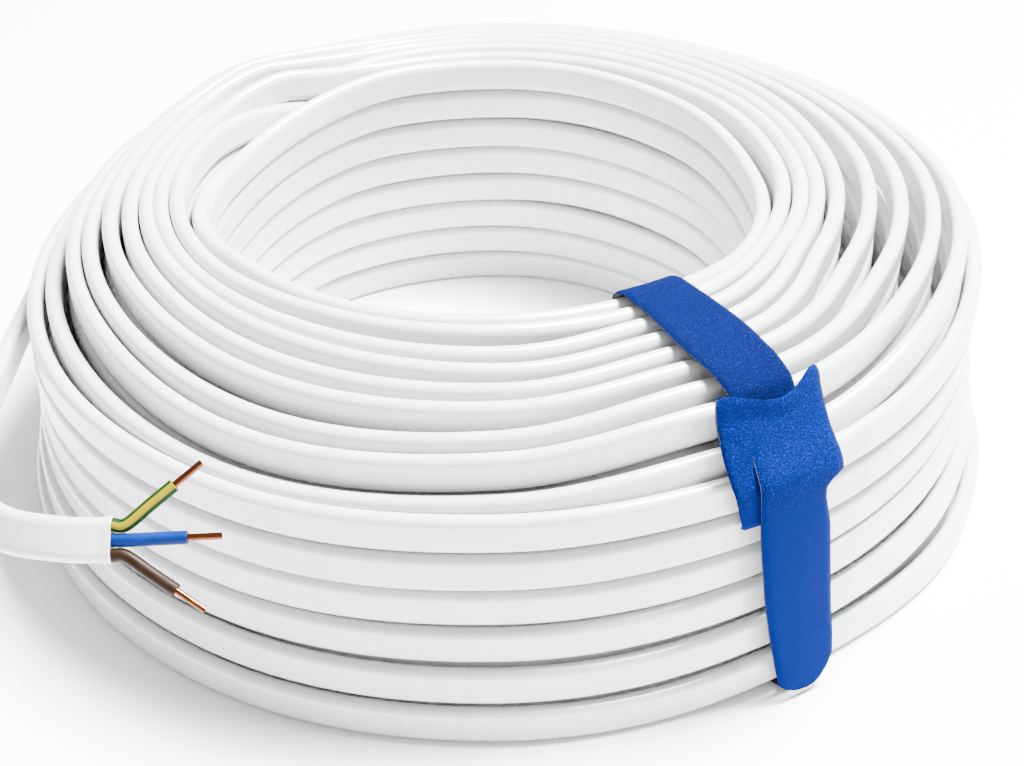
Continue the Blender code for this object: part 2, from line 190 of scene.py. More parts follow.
# Hook-and-loop strap: the line of its inner face in (radius, height), from under the bore's rim
STRAP_AZIMUTH = math.radians(-60.0)
STRAP_LINE = (
    (84.6, 1.5), (83.0, 30.0), (81.0, 70.0), (79.8, 92.0), (80.8, 98.8), (85.6, 101.0), (98.0, 101.4),
    (118.0, 101.0), (131.0, 99.8), (138.0, 97.0), (150.4, 74.2), (151.2, 62.0), (153.2, 25.0),
    (155.2, 8.0), (155.6, 2.6), (153.6, 1.5), (120.0, 1.5), (88.0, 1.5),
)
STRAP_THICKNESS = 1.4 * MM
# The line that the head and the tail lie on, from the same rim over the shoulder and straight down
STRAP_OVER_LINE = (
    (78.4, 92.0), (79.6, 99.3), (85.0, 102.4), (98.0, 102.9), (118.0, 102.5), (131.4, 101.2), (139.2, 98.0),
    (151.9, 74.6), (152.7, 62.0), (154.7, 25.0), (156.7, 8.0), (157.6, 0.4),
)

# Edges of the strap's band, head and tail, as (distance along its line, distance across) in millimetres.
# The band's line starts under the bore's rim, it is narrower where the tail hides it, and the last pair
# of each of its edges lies past its end.
BAND_LEFT = (
    (0.0, -9.5), (90.0, -9.5), (104.0, -10.0), (132.0, -12.0), (156.0, -11.4), (182.0, -8.0), (200.0, -2.5),
    (230.0, 0.5), (256.0, 2.5), (300.0, -2.0), (395.0, -3.0),
)
BAND_RIGHT = (
    (0.0, 9.5), (90.0, 10.0), (130.0, 10.4), (160.0, 10.0), (200.0, 12.0), (265.0, 13.0), (395.0, 11.0),
)
# A slight waviness of the band's edges, and its radians for each metre at the left and at the right
EDGE_RIPPLE = 0.25 * MM
LEFT_RIPPLE = 170.0
RIGHT_RIPPLE = 150.0
HEAD_START = 68.6
SLIT_START = 81.0
TAIL_END = 168.8
HEAD_LEFT = (
    (68.6, -15.8), (69.1, -16.7), (70.6, -17.4), (74.0, -17.6), (80.6, -17.9), (81.2, -8.6), (83.0, -9.5),
    (88.0, -9.9), (97.0, -10.2), (110.0, -9.6), (131.0, -7.2), (150.0, -4.0), (160.0, -2.1), (164.5, -0.8),
    (166.6, 1.6), (168.2, 5.0), (168.8, 8.5),
)
HEAD_RIGHT = (
    (68.6, 15.8), (69.1, 16.9), (70.6, 17.4), (76.0, 17.6), (86.0, 17.7), (94.0, 18.4), (97.0, 18.6),
    (98.8, 14.8), (100.8, 12.6), (104.0, 12.6), (113.5, 14.9), (136.0, 17.1), (154.0, 18.9), (160.5, 19.0),
    (164.0, 17.4), (166.8, 14.6), (168.4, 12.0), (168.8, 10.0),
)
TAB_LEFT = (
    (76.0, -17.7), (85.0, -17.9), (93.0, -17.2), (99.6, -15.7), (103.0, -15.0), (106.0, -14.2),
    (108.5, -12.5),
)
# The tab reaches under the head by its lap, from no further left than its seam
TAB_SEAM = -10.2 * MM
TAB_LAP = 6.0 * MM
TAB_LIFT = 0.12 * MM
# Where the tab's lower edge is pinched between two turns, and how deep
TAB_PINCH = 104.8
TAB_END = 108.5
TAB_DIVE = 3.0 * MM
# How far the head's upper edge dips, by the distance across
HEAD_TOP = (
    (-17.0, 0.0), (-12.0, 0.5), (-7.0, 2.0), (-1.0, 3.9), (3.0, 4.4), (6.0, 4.0), (10.0, 2.2), (14.0, 0.0),
    (16.5, -0.4),
)
HEAD_LIFT = 0.2 * MM
EAR_LIFT = 1.2 * MM
TAIL_LIFT = 1.7 * MM
# Distances along the line, in millimetres, over which the ear and the dip end and the tail lifts off
EAR_SPAN = 7.0
DIP_SPAN = 16.0
TAIL_LIFT_SPAN = 15.0
# The strap's long edges: how square they are, and how much thinner the sheet is there
EDGE_SQUARENESS = 14
EDGE_THINNING = 0.6
# The band's colour against the head's, darkened as painted shade, how bright the painted highlight on the
# tips of the pile is, and where it turns to weave
BAND_PAINTED_SHADE = 0.46
BAND_TIP_HIGHLIGHT = 2.6
HEAD_TIP_HIGHLIGHT = 2.8
WEAVE_START = 96.0 * MM
WEAVE_FULL = 108.0 * MM

# The tail's middle line, as in the part's source
TAIL_ROUTE = (
    (-0.1533, 0.0420, 0.0549),
    (-0.1588, 0.0080, 0.0549),
    (-0.1590, -0.0250, 0.0560),
    (-0.1572, -0.0560, 0.0590),
    (-0.1545, -0.0860, 0.0640),
    (-0.1505, -0.1140, 0.0700),
    (-0.1425, -0.1400, 0.0755),
    (-0.1280, -0.1590, 0.0797),
    (-0.1110, -0.1662, 0.0817),
    (-0.0979, -0.1670, 0.0820),
)
TAIL_STEP = 0.0020
TAIL_TWIST_START = 0.35
END_FACE_TILT = math.radians(38.5)
ROUTE_PARTS = 20

# Stripped end
CORE_SPACING = 3.9 * MM
CORE_DIAMETER = 3.5 * MM
CONDUCTOR_DIAMETER = 1.8 * MM
CORE_LENGTH = 19.0 * MM
CONDUCTOR_LENGTH = 8.5 * MM
CORE_ROOT = 3.5 * MM
CORE_SIDES = 28
WIRE_SIDES = 20
WIRE_STEP = 0.6 * MM
STRIPE_TURN = 0.14
STRIPE_EDGE = (0.40, 0.62)
CUT_SLANT = 0.55
CORE_FAN = {"green_yellow": 40.0, "blue": 3.0, "brown": -33.0}
# The jacket's lip: steps along from its end in millimetres, and how wide it is there
LIP = (
    (-3.2, 1.0), (-1.8, 1.012), (-0.8, 1.045), (-0.1, 1.065), (0.2, 1.03), (0.22, 0.95), (0.0, 0.87),
    (-0.9, 0.8),
)


# Properties


class CableProperties(PropertyGroup):
    """Sizes and colours of the cable."""

    width: FloatProperty(
        name="Width", description="Wide side of the jacket", default=11.5 * MM, unit="LENGTH"
    )
    thickness: FloatProperty(
        name="Thickness", description="Narrow side of the jacket", default=5.0 * MM, unit="LENGTH"
    )
    edge_radius: FloatProperty(
        name="Edge radius",
        description="Rounding of the jacket's narrow edges",
        default=2.42 * MM,
        unit="LENGTH",
    )
    jacket_colour: FloatVectorProperty(
        name="Jacket", description="White of the jacket", subtype="COLOR", default=(0.535, 0.541, 0.547)
    )
    green_colour: FloatVectorProperty(
        name="Green", description="Green stripes", subtype="COLOR", default=(0.0002, 0.020, 0.0006)
    )
    yellow_colour: FloatVectorProperty(
        name="Yellow", description="Yellow stripe", subtype="COLOR", default=(0.18, 0.14, 0.0)
    )
    blue_colour: FloatVectorProperty(
        name="Blue", description="Blue core", subtype="COLOR", default=(0.0, 0.0105, 0.085)
    )
    brown_colour: FloatVectorProperty(
        name="Brown", description="Brown core", subtype="COLOR", default=(0.0108, 0.0046, 0.0021)
    )
    copper_colour: FloatVectorProperty(
        name="Copper", description="Bare copper", subtype="COLOR", default=(0.125, 0.038, 0.013)
    )


class StrapProperties(PropertyGroup):
    """Looks of the hook-and-loop strap."""

    pile_colour: FloatVectorProperty(
        name="Pile", description="Blue loop pile", subtype="COLOR", default=(0.0001, 0.0044, 0.055)
    )
    hook_colour: FloatVectorProperty(
        name="Hooks", description="Black hook side", subtype="COLOR", default=(0.004, 0.004, 0.005)
    )


class StudioProperties(PropertyGroup):
    """The pale floor and the soft light."""

    floor_colour: FloatVectorProperty(
        name="Floor", description="Pale floor", subtype="COLOR", default=(0.93, 0.93, 0.93)
    )
    key_power: FloatProperty(
        name="Key light", description="Power of the overhead softbox", default=312.0, unit="POWER"
    )
    sky_strength: FloatProperty(
        name="Surround", description="Strength of the white surround", default=1.1, min=0.0
    )


# Curves and frames


def smoothstep(value):
    value = np.clip(value, 0.0, 1.0)
    return value * value * (3.0 - 2.0 * value)


def hermite(low, start, high, end, share):
    """Between two values with these slopes, at a share of the way."""
    square, cube = share**2, share**3
    return (
        low * (2 * cube - 3 * square + 1)
        + start * (cube - 2 * square + share)
        + high * (3 * square - 2 * cube)
        + end * (cube - square)
    )


def round_the_coil(azimuths, values, wanted):
    """Values at some azimuths, carried round the coil to the wanted ones, smoothly and without overshoot."""
    order = np.argsort(azimuths)
    knots = np.asarray(azimuths, float)[order]
    rows = np.asarray(values, float)[order]
    knots = np.concatenate((knots[-2:] - 360.0, knots, knots[:2] + 360.0))
    rows = np.concatenate((rows[-2:], rows, rows[:2]))
    wanted = (np.asarray(wanted, float) - knots[1]) % 360.0 + knots[1]
    index = np.clip(np.searchsorted(knots, wanted, side="right") - 1, 1, len(knots) - 3)
    rates = np.diff(rows, axis=0) / np.diff(knots)[:, None]
    product, total = rates[1:] * rates[:-1], rates[1:] + rates[:-1]
    slopes = np.where(product > 0.0, 2.0 * product / np.where(total == 0.0, 1.0, total), 0.0)
    low, high = rows[index], rows[index + 1]
    span = (knots[index + 1] - knots[index])[:, None]
    share = ((wanted - knots[index]) / span[:, 0])[:, None]
    return hermite(low, slopes[index - 1] * span, high, slopes[index] * span, share)


def smooth_route(points, step):
    """Points about step apart on a smooth curve through these points."""
    knots = [Vector(point) for point in points]
    ends = [2 * knots[0] - knots[1]] + knots + [2 * knots[-1] - knots[-2]]
    dense = []
    for index in range(len(knots) - 1):
        a, b, c, d = ends[index : index + 4]
        for part in range(ROUTE_PARTS):
            t = part / ROUTE_PARTS
            curve = (
                2 * b
                + (c - a) * t
                + (2 * a - 5 * b + 4 * c - d) * t**2
                + (3 * b - a - 3 * c + d) * t**3
            )
            dense.append(curve * 0.5)
    dense.append(knots[-1])
    return evenly_spaced(np.array(dense), step)


def measured(points):
    """Distance along a line at each of its points."""
    return np.concatenate(([0.0], np.cumsum(np.linalg.norm(np.diff(points, axis=0), axis=1))))


def evenly_spaced(points, step):
    lengths = measured(points)
    count = max(2, round(lengths[-1] / step))
    wanted = np.linspace(0.0, lengths[-1], count + 1)
    return np.column_stack([np.interp(wanted, lengths, points[:, axis]) for axis in range(3)])


def unit(vectors):
    return vectors / np.linalg.norm(vectors, axis=-1, keepdims=True)


def turned(vectors, axes, angles):
    """Vectors turned about unit axes at right angles to them."""
    return vectors * np.cos(angles)[:, None] + np.cross(axes, vectors) * np.sin(angles)[:, None]


def cable_frames(path, lean):
    """Outward normal of the wide face and direction of the upper edge, along a path."""
    tangents = unit(np.gradient(path, axis=0))
    outward = unit(np.cross(tangents, np.array((0.0, 0.0, 1.0))))
    upward = unit(np.cross(outward, tangents))
    lean = np.broadcast_to(lean, len(path))
    return turned(outward, tangents, lean), turned(upward, tangents, lean)


# Meshes


def jacket_section(width, thickness, corner):
    """Outline of the flat jacket: wide faces, almost round narrow edges."""
    points = []
    hold = 0.35 * MM
    for quarter, (side_x, side_y) in enumerate(((1, 1), (-1, 1), (-1, -1), (1, -1))):
        centre_x = side_x * (thickness / 2 - corner)
        centre_y = side_y * (width / 2 - corner)
        if quarter in (0, 2):
            points.append((side_x * thickness / 2, centre_y - side_y * hold))
        for part in range(CORNER_PARTS + 1):
            angle = math.pi / 2 * (quarter + part / CORNER_PARTS)
            points.append((centre_x + corner * math.cos(angle), centre_y + corner * math.sin(angle)))
        if quarter in (1, 3):
            points.append((side_x * thickness / 2, centre_y - side_y * hold))
    return np.array(points)


def round_section(diameter, sides):
    angles = np.linspace(0.0, 2 * math.pi, sides, endpoint=False)
    return np.column_stack((np.cos(angles), np.sin(angles))) * diameter / 2


def swept(name, path, outward, upward, section, finishes, scale=None):
    """A section carried along a path. Its UV map holds metres along the path and round the section."""
    count, around = len(path), len(section)
    sizes = np.ones((count, 1)) if scale is None else np.asarray(scale)[:, None]
    across = section[None, :, 0] * sizes
    along_edge = section[None, :, 1] * sizes
    verts = (
        path[:, None, :]
        + outward[:, None, :] * across[:, :, None]
        + upward[:, None, :] * along_edge[:, :, None]
    ).reshape(-1, 3)
    ring, side = np.meshgrid(np.arange(count - 1), np.arange(around), indexing="ij")
    after = (side + 1) % around
    near, far = ring * around, (ring + 1) * around
    faces = np.stack((near + side, near + after, far + after, far + side), axis=-1).reshape(-1, 4).tolist()
    faces.append(list(range(around))[::-1])
    faces.append([(count - 1) * around + index for index in range(around)])
    mesh = bpy.data.meshes.new(name)
    mesh.from_pydata(verts.tolist(), [], faces)
    lengths = measured(path)
    girth = measured(np.concatenate((section, section[:1])))
    quad_u = np.stack((lengths[ring], lengths[ring], lengths[ring + 1], lengths[ring + 1]), axis=-1)
    quad_v = np.stack((girth[side], girth[side + 1], girth[side + 1], girth[side]), axis=-1)
    uvs = np.stack((quad_u, quad_v), axis=-1).reshape(-1, 2)
    layer = mesh.uv_layers.new(name="along")
    values = np.zeros((len(mesh.loops), 2))
    values[: len(uvs)] = uvs
    layer.data.foreach_set("uv", values.ravel())
    return finished(name, mesh, finishes)


def finished(name, mesh, finishes, sharp=50.0):
    """An object with this closed mesh, smooth and with its faces outwards, and its materials."""
    mesh.validate()
    solid = bmesh.new()
    solid.from_mesh(mesh)
    inside_out = solid.calc_volume(signed=True) < 0.0
    solid.free()
    if inside_out:
        mesh.flip_normals()
    mesh.shade_smooth()
    mesh.set_sharp_from_angle(angle=math.radians(sharp))
    obj = bpy.data.objects.new(name, mesh)
    bpy.context.scene.collection.objects.link(obj)
    for finish in finishes:
        obj.data.materials.append(finish)
    return obj


# Winding


def section_fields(azimuth):
    """Every value of SECTIONS at these azimuths, in metres where it is a length."""
    packed = []
    for values in SECTIONS.values():
        lengths = (values["bore"], values["wall"], values["bore_foot"], *values["feet"], *values["tops"])
        shares = np.array(values["gaps"], float) / sum(values["gaps"])
        packed.append(np.concatenate((np.array(lengths) * MM, shares)))
    fields = round_the_coil(list(SECTIONS), packed, azimuth)
    plain, feet, tops, gaps = np.split(fields, np.cumsum((3, FOOT_ROWS, LAYERS)), axis=1)
    bore, wall, bore_foot = plain.T
    gaps = np.clip(gaps, 0.0, None)
    gaps = gaps / gaps.sum(axis=1, keepdims=True)
    return {"bore": bore, "wall": wall, "bore_foot": bore_foot, "feet": feet, "tops": tops, "gaps": gaps}


def spare_below(layer, row, azimuth):
    """Share of a layer's spare height that lies below one of its rows."""
    even = row / (ROWS_IN_LAYER[layer] - 1)
    if layer < OPEN_LAYERS:
        from_crossing = np.abs(azimuth % 360.0 - CROSSING_MIDDLE) - CROSSING_HALF_WIDTH - CROSSING_LAG / 2
        return even + (sum(INNER_ROW_GAPS[:row]) - even) * smoothstep(from_crossing / CROSSING_FADE)
    if layer < LAYERS - OPEN_LAYERS:
        return np.full(len(azimuth), even)
    loose = np.clip(np.cos(np.radians(azimuth - LOOSE_SIDE)), 0.0, 1.0)
    return even + (sum(OUTER_ROW_GAPS[:row]) - even) * loose


def turn_place(layer, row, azimuth, sizes):
    """Radius and height of the middle line of one turn at these azimuths."""
    fields = section_fields(azimuth)
    rows = ROWS_IN_LAYER[layer]
    spare = np.clip(fields["tops"][:, layer] - rows * sizes.width, 0.0, None)
    height = (row + 0.5) * sizes.width + spare * spare_below(layer, row, azimuth)
    foot = fields["feet"][:, row] if row < FOOT_ROWS else np.zeros(len(azimuth))
    bore = fields["bore"] + fields["bore_foot"] * np.clip(1.0 - height / COIL_HEIGHT, 0.0, 1.0)
    wall = fields["wall"] + foot
    slack = np.clip(wall - bore - LAYERS * sizes.thickness, 0.0, None)
    radius = bore + (layer + 0.5) * sizes.thickness + slack * fields["gaps"][:, :layer].sum(axis=1)
    from_strap = (azimuth - math.degrees(STRAP_AZIMUTH) + 180.0) % 360.0 - 180.0
    lift = STRAP_LIFT * np.exp(-((from_strap / STRAP_LIFT_SPREAD) ** 2)) * max(0.0, 1.0 - row / LIFTED_ROWS)
    wander = random.Random(layer * WANDER_SEED + row)
    room = np.clip((slack - TIGHT_SLACK) / TIGHT_SLACK, LEAST_WANDER, 1.0)
    for waves in WANDER_WAVES:
        phase = wander.uniform(0.0, 2 * math.pi)
        radius = radius + WANDER_OUT * room / waves * np.sin(np.radians(azimuth) * waves + phase)
        phase = wander.uniform(0.0, 2 * math.pi)
        height = height + WANDER_UP / waves * np.sin(np.radians(azimuth) * waves + phase) * min(row, 1)
    return radius, height + lift


def turn_order():
    """(layer, row) of each turn, along the cable: down the first layer, up the second, and so on."""
    order = []
    for layer, rows in enumerate(ROWS_IN_LAYER):
        upwards = layer % 2 == 1
        order.extend((layer, row) for row in (range(rows) if upwards else reversed(range(rows))))
    return order


def on_circle(azimuth, radius, height):
    angle = np.radians(azimuth)
    return np.column_stack((radius * np.cos(angle), radius * np.sin(angle), height))


def crossing_share(azimuth, middle, half_width):
    """How far a turn has gone over to the next place at these azimuths, from 0 to 1."""
    return smoothstep((azimuth - middle + half_width) / (2 * half_width))


def turn_path(place, following, sizes, last=False):
    """The middle line of one whole turn, which crosses over to the next one at the back left.

    At a layer's upper end it is pushed up by the turn that rises beneath it, and then lies on the one
    that sinks beside it. At the floor there is room for it, because the rows there cross out of its way.
    """
    layer, row = place
    end = LAST_AZIMUTH if last else SEAM_AZIMUTH
    steps = round(TURN_STEPS * (end - SEAM_AZIMUTH + 360.0) / 360.0)
    azimuth = np.linspace(SEAM_AZIMUTH - 360.0, end, steps + 1)
    radius, height = turn_place(layer, row, azimuth, sizes)
    if last:
        return on_circle(azimuth, radius, height)
    next_radius, next_height = turn_place(*following, azimuth, sizes)
    if following[0] == layer:
        depth = 1.0 - min(row, following[1]) / (ROWS_IN_LAYER[layer] - 2)
        lag = CROSSING_LAG * depth * (-1.0 if following[1] > row else 1.0)
        share = crossing_share(azimuth, CROSSING_MIDDLE + lag, CROSSING_HALF_WIDTH)
    else:
        share = crossing_share(azimuth, CROSSING_MIDDLE, LAYER_CHANGE_HALF_WIDTH)
    radius = radius + (next_radius - radius) * share
    height = height + (next_height - height) * share
    if following[0] != layer and row > 0:
        beside = crossing_share(azimuth, CROSSING_MIDDLE, CROSSING_HALF_WIDTH)
        height = height + HUMP_SHARE * sizes.width * np.minimum(beside, 1.0 - beside)
    return on_circle(azimuth, radius, height)


def layer_path(layer, sizes):
    """The middle line of all the turns of one layer, end to end."""
    order = turn_order()
    points = []
    for index, place in enumerate(order):
        if place[0] != layer:
            continue
        last = index == len(order) - 1
        following = None if last else order[index + 1]
        turn = turn_path(place, following, sizes, last)
        points.append(turn if last else turn[:-1])
    path = np.concatenate(points)
    if layer == 0:
        path = tucked_start(path, sizes)
    if layer == LAYERS - 1:
        path = joined_to_tail(path)
    else:
        first = order.index((layer, 0 if layer % 2 == 0 else ROWS_IN_LAYER[layer] - 1))
        path = np.concatenate((path, turn_path(order[first + 1], order[first + 2], sizes)[:1]))
    return path


def tucked_start(path, sizes):
    """The cable's inner end starts one row lower, pressed in between the first two layers."""
    first = turn_order()[0]
    start = SEAM_AZIMUTH - 360.0
    azimuth = np.arange(start - TUCKED_END, start - STEP_ANGLE / 2, STEP_ANGLE)
    path = np.concatenate((on_circle(azimuth, *turn_place(*first, azimuth, sizes)), path))
    down = 1.0 - smoothstep(np.arange(len(path)) * STEP_ANGLE / (2.0 * TUCKED_END))
    flat = path * np.array((1.0, 1.0, 0.0))
    shift = unit(flat) * TUCKED_OUT - np.array((0.0, 0.0, TUCKED_DOWN))
    return path + shift * down[:, None]


def joined_to_tail(path):
    """The outermost turn runs on over the wall's outside, and down to where the free end begins."""
    route = smooth_route(TAIL_ROUTE, TAIL_STEP)
    last_radius, last_height = math.hypot(*path[-1, :2]), path[-1, 2]
    azimuth = np.arange(LAST_AZIMUTH, FREE_AZIMUTH, STEP_ANGLE)[1:]
    out = smoothstep((azimuth - LAST_AZIMUTH) / LIFT_OFF_SPAN)
    down = smoothstep((azimuth - LAST_AZIMUTH) / (FREE_AZIMUTH - LAST_AZIMUTH))
    free_radius, free_height = math.hypot(*route[0, :2]) + FREE_GAP, route[0, 2]
    free = on_circle(
        azimuth,
        last_radius + (free_radius - last_radius) * out,
        last_height + (free_height - last_height) * down,
    )
    start, end = free[-1], route[0]
    reach = np.linalg.norm(end - start)
    start_pull = unit(free[-1] - free[-2]) * reach
    end_pull = unit(route[1] - route[0]) * reach
    share = np.linspace(0.0, 1.0, BRIDGE_POINTS)[1:, None]
    return np.concatenate((path, free, hermite(start, start_pull, end, end_pull, share)))


def leaning(layer, path):
    """A slow, small lean of the wide faces, different in each layer."""
    wander = random.Random(LEAN_SEED + layer)
    steps = np.arange(len(path)) / TURN_STEPS
    lean = np.zeros(len(path))
    for waves in LEAN_WAVES:
        lean = lean + np.sin(2 * math.pi * steps * waves + wander.uniform(0.0, 2 * math.pi))
    ends = np.minimum(np.arange(len(path)), np.arange(len(path))[::-1]) / LEAN_EASE
    return lean * LEAN / 2.0 * smoothstep(ends)


# Shader groups and materials


def new_group(name, inputs, outputs):
    group = bpy.data.node_groups.new(name, "ShaderNodeTree")
    for label, kind, default in inputs:
        socket = group.interface.new_socket(label, in_out="INPUT", socket_type=kind)
        socket.default_value = default
    for label, kind in outputs:
        group.interface.new_socket(label, in_out="OUTPUT", socket_type=kind)
    return group, group.nodes.new("NodeGroupInput"), group.nodes.new("NodeGroupOutput")


def feed(links, socket, value):
    """Links another socket to this one, or gives it a plain value."""
    if isinstance(value, bpy.types.NodeSocket):
        links.new(value, socket)
    else:
        socket.default_value = value


def maths(nodes, links, operation, first, second, clamp=False):
    node = nodes.new("ShaderNodeMath")
    node.operation = operation
    node.use_clamp = clamp
    feed(links, node.inputs[0], first)
    feed(links, node.inputs[1], second)
    return node.outputs[0]


def ranged(nodes, links, value, low, high, side="From"):
    """A value taken from between these bounds to between 0 and 1, or the other way with side To."""
    node = nodes.new("ShaderNodeMapRange")
    node.inputs[f"{side} Min"].default_value = low
    node.inputs[f"{side} Max"].default_value = high
    links.new(value, node.inputs["Value"])
    return node.outputs["Result"]


def noise(nodes, links, place, scale, detail, roughness=0.5):
    node = nodes.new("ShaderNodeTexNoise")
    links.new(place, node.inputs["Vector"])
    feed(links, node.inputs["Scale"], scale)
    feed(links, node.inputs["Detail"], detail)
    feed(links, node.inputs["Roughness"], roughness)
    return node.outputs["Fac"]


def on_the_piece(nodes, links):
    """Metres along a piece and across it, from its UV map."""
    place = nodes.new("ShaderNodeUVMap")
    place.uv_map = "along"
    split = nodes.new("ShaderNodeSeparateXYZ")
    links.new(place.outputs["UV"], split.inputs[0])
    return split.outputs[0], split.outputs[1]


def mixed(nodes, links, factor, first, second):
    node = nodes.new("ShaderNodeMix")
    node.data_type = "RGBA"
    links.new(factor, node.inputs["Factor"])
    feed(links, node.inputs["A"], first)
    feed(links, node.inputs["B"], second)
    return node.outputs["Result"]


def drawn_streaks_group():
    """Fine lines along a drawn or extruded length, from its UV map in metres."""
    group, given, put = new_group(
        "drawn_streaks",
        (("Along", "NodeSocketFloat", 6.0), ("Across", "NodeSocketFloat", 1600.0)),
        (("Height", "NodeSocketFloat"),),
    )
    nodes, links = group.nodes, group.links
    along, across = on_the_piece(nodes, links)
    join = nodes.new("ShaderNodeCombineXYZ")
    links.new(maths(nodes, links, "MULTIPLY", along, given.outputs["Along"]), join.inputs[0])
    links.new(maths(nodes, links, "MULTIPLY", across, given.outputs["Across"]), join.inputs[1])
    links.new(noise(nodes, links, join.outputs[0], 1.0, 3.0), put.inputs["Height"])
    return group


def handling_marks_group():
    """Soft patches of rubbing and dust, as a mask from 0 to 1."""
    group, given, put = new_group(
        "handling_marks",
        (("Scale", "NodeSocketFloat", 40.0), ("Amount", "NodeSocketFloat", 0.5)),
        (("Mask", "NodeSocketFloat"),),
    )
    nodes, links = group.nodes, group.links
    place = nodes.new("ShaderNodeTexCoord").outputs["Object"]
    patches = ranged(nodes, links, noise(nodes, links, place, given.outputs["Scale"], 5.0, 0.62), 0.42, 0.72)
    mask = maths(nodes, links, "MULTIPLY", patches, given.outputs["Amount"], clamp=True)
    links.new(mask, put.inputs["Mask"])
    return group


def shared_group(name):
    makers = {
        "drawn_streaks": drawn_streaks_group,
        "handling_marks": handling_marks_group,
        "loop_pile": loop_pile_group,
    }
    return bpy.data.node_groups.get(name) or makers[name]()


def loop_pile_group():
    """Brushed loops of a hook-and-loop strap: tiny tufts, a mask for a painted highlight on the raised tips,
    and brushed patches.
    """
    group, given, put = new_group(
        "loop_pile",
        (("Scale", "NodeSocketFloat", 2200.0),),
        (("Height", "NodeSocketFloat"), ("Painted Tip Highlight", "NodeSocketFloat"), ("Brushed", "NodeSocketFloat")),
    )
    nodes, links = group.nodes, group.links
    place = nodes.new("ShaderNodeTexCoord").outputs["Object"]
    fine = noise(nodes, links, place, given.outputs["Scale"], 4.0, 0.7)
    tufts = nodes.new("ShaderNodeTexVoronoi")
    links.new(place, tufts.inputs["Vector"])
    links.new(given.outputs["Scale"], tufts.inputs["Scale"])
    links.new(maths(nodes, links, "SUBTRACT", fine, tufts.outputs["Distance"]), put.inputs["Height"])
    # The tips' mask follows the same noise that raises the loops, for a painted highlight where they stand
    # highest
    links.new(ranged(nodes, links, fine, 0.50, 0.66), put.inputs["Painted Tip Highlight"])
    links.new(noise(nodes, links, place, 130.0, 3.0), put.inputs["Brushed"])
    return group


def placed_group(nodes, name, **values):
    node = nodes.new("ShaderNodeGroup")
    node.node_tree = shared_group(name)
    for label, value in values.items():
        node.inputs[label].default_value = value
    return node


def new_material(name):
    made = bpy.data.materials.new(name)
    made.use_nodes = True
    return made, made.node_tree.nodes, made.node_tree.links, made.node_tree.nodes["Principled BSDF"]


def bumped(nodes, links, shader, height, strength, distance):
    bump = nodes.new("ShaderNodeBump")
    bump.inputs["Strength"].default_value = strength
    bump.inputs["Distance"].default_value = distance
    links.new(height, bump.inputs["Height"])
    links.new(bump.outputs["Normal"], shader.inputs["Normal"])


def rough_between(nodes, links, shader, mask, low, high):
    links.new(ranged(nodes, links, mask, low, high, "To"), shader.inputs["Roughness"])


def colour(values):
    return (*values, 1.0)


def jacket_material(sizes):
    """White PVC with a soft gloss, faint lines from its extrusion and a little handling."""
    made = bpy.data.materials.get("white_pvc_jacket")
    if made:
        return made
    made, nodes, links, shader = new_material("white_pvc_jacket")
    marks = placed_group(nodes, "handling_marks", Scale=55.0, Amount=1.0)
    streaks = placed_group(nodes, "drawn_streaks", Along=5.0, Across=1400.0)
    base = tuple(sizes.jacket_colour)
    dusty = tuple(channel * 0.965 for channel in base)
    result = mixed(nodes, links, marks.outputs["Mask"], colour(base), colour(dusty))
    links.new(result, shader.inputs["Base Color"])
    rough_between(nodes, links, shader, marks.outputs["Mask"], 0.24, 0.34)
    shader.inputs["Specular IOR Level"].default_value = 0.85
    bumped(nodes, links, shader, streaks.outputs["Height"], 0.10, 0.00012)
    return made


def insulation_material(name, base):
    """Coloured PVC insulation of one core."""
    made, nodes, links, shader = new_material(name)
    marks = placed_group(nodes, "handling_marks", Scale=260.0, Amount=1.0)
    streaks = placed_group(nodes, "drawn_streaks", Along=40.0, Across=2600.0)
    worn = tuple(channel * 1.3 + 0.0005 for channel in base)
    result = mixed(nodes, links, marks.outputs["Mask"], colour(base), colour(worn))
    links.new(result, shader.inputs["Base Color"])
    rough_between(nodes, links, shader, marks.outputs["Mask"], 0.40, 0.55)
    shader.inputs["Specular IOR Level"].default_value = 0.08
    bumped(nodes, links, shader, streaks.outputs["Height"], 0.25, 0.00012)
    return made


def striped_material(sizes):
    """Yellow insulation with a green stripe along each side."""
    made, nodes, links, shader = new_material("green_yellow_insulation")
    _, girth = on_the_piece(nodes, links)
    turn = maths(nodes, links, "MULTIPLY", girth, 4.0 / CORE_DIAMETER)
    wave = nodes.new("ShaderNodeMath")
    wave.operation = "COSINE"
    links.new(maths(nodes, links, "SUBTRACT", turn, STRIPE_TURN), wave.inputs[0])
    stripe = ranged(nodes, links, wave.outputs[0], *STRIPE_EDGE)
    streaks = placed_group(nodes, "drawn_streaks", Along=40.0, Across=2600.0)
    green = colour(tuple(sizes.green_colour))
    yellow = colour(tuple(sizes.yellow_colour))
    links.new(mixed(nodes, links, stripe, green, yellow), shader.inputs["Base Color"])
    rough_between(nodes, links, shader, streaks.outputs["Height"], 0.38, 0.52)
    shader.inputs["Specular IOR Level"].default_value = 0.08
    bumped(nodes, links, shader, streaks.outputs["Height"], 0.25, 0.00012)
    return made


def copper_material(sizes):
    """Bare drawn copper with fine lines along the wire."""
    made, nodes, links, shader = new_material("drawn_copper")
    streaks = placed_group(nodes, "drawn_streaks", Along=60.0, Across=5200.0)
    marks = placed_group(nodes, "handling_marks", Scale=700.0, Amount=0.8)
    base = tuple(sizes.copper_colour)
    dull = tuple(channel * 0.62 for channel in base)
    result = mixed(nodes, links, marks.outputs["Mask"], colour(base), colour(dull))
    links.new(result, shader.inputs["Base Color"])
    shader.inputs["Metallic"].default_value = 1.0
    rough_between(nodes, links, shader, streaks.outputs["Height"], 0.10, 0.30)
    bumped(nodes, links, shader, streaks.outputs["Height"], 0.5, 0.0001)
    return made


